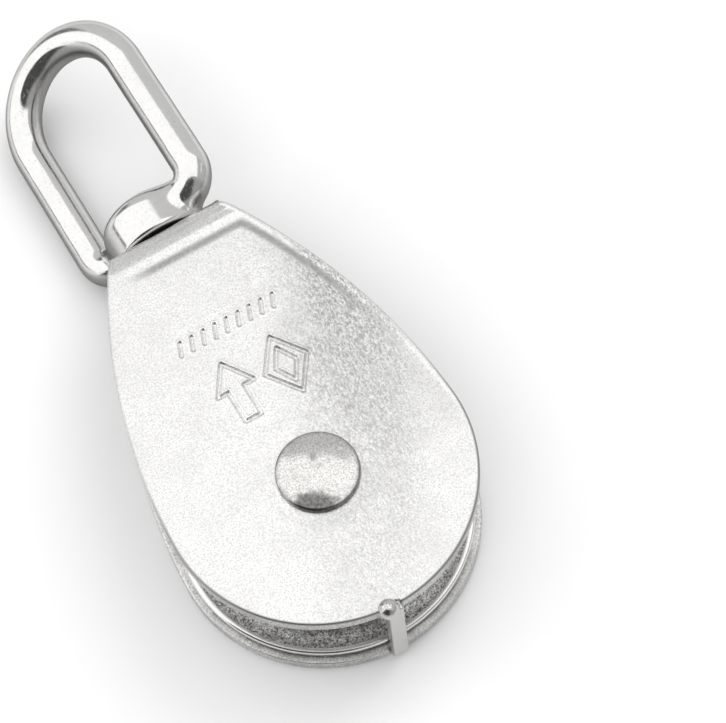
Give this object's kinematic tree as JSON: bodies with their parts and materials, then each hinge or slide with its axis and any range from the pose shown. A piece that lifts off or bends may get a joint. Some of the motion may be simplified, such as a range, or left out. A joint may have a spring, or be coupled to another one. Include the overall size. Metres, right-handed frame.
{
  "type": "swivel eye sheave block",
  "caption": "Rope block: a grooved sheave on a ball bearing between the cheeks of a folded steel strap, with a tie bar below and a swivel eye above.",
  "frame": {"origin": "centre of the sheave, on the axle's axis, midway between the cheeks", "axes": "+Z along the axle, out of the front cheek; +Y up the block towards the swivel eye; +X across the block"},
  "size_m": [0.0536, 0.1352, 0.0252],
  "materials": {
    "cheek_plate": "tumbled satin",
    "sheave_cast": "rough cast groove, turned rims",
    "eye_polished": "polished, fine cast pitting on the boss",
    "rivet_steel": "polished",
    "tie_steel": "satin",
    "bearing_steel": "ground",
    "cage_steel": "pressed sheet"
  },
  "bodies": {
    "frame": {"cheek_frame": "cheek_plate", "axle_rivet": "rivet_steel", "spacer_front": "bearing_steel", "spacer_rear": "bearing_steel", "bearing_inner_race": "bearing_steel", "tie_bar": "tie_steel"},
    "wheel": {"sheave": "sheave_cast", "bearing_outer_race": "bearing_steel", "bearing_shield_front": "cage_steel", "bearing_shield_rear": "cage_steel"},
    "ball_cage": {"bearing_cage": "cage_steel", "bearing_balls": "bearing_steel"},
    "swivel": {"swivel_eye": "eye_polished", "swivel_pin": "rivet_steel"}
  },
  "joints": [
    {"name": "sheave_spin", "type": "hinge", "parent": "frame", "child": "wheel", "pos_m": [0, 0, 0], "axis": [0, 0, 1], "continuous": true},
    {"name": "cage_spin", "type": "hinge", "parent": "frame", "child": "ball_cage", "pos_m": [0, 0, 0], "axis": [0, 0, 1], "continuous": true},
    {"name": "eye_swivel", "type": "hinge", "parent": "frame", "child": "swivel", "pos_m": [0, 0.0563, 0], "axis": [0, 1, 0], "continuous": true}
  ],
  "couplings": [
    {"joint": "cage_spin", "follows": "sheave_spin", "ratio": 0.6323}
  ]
}
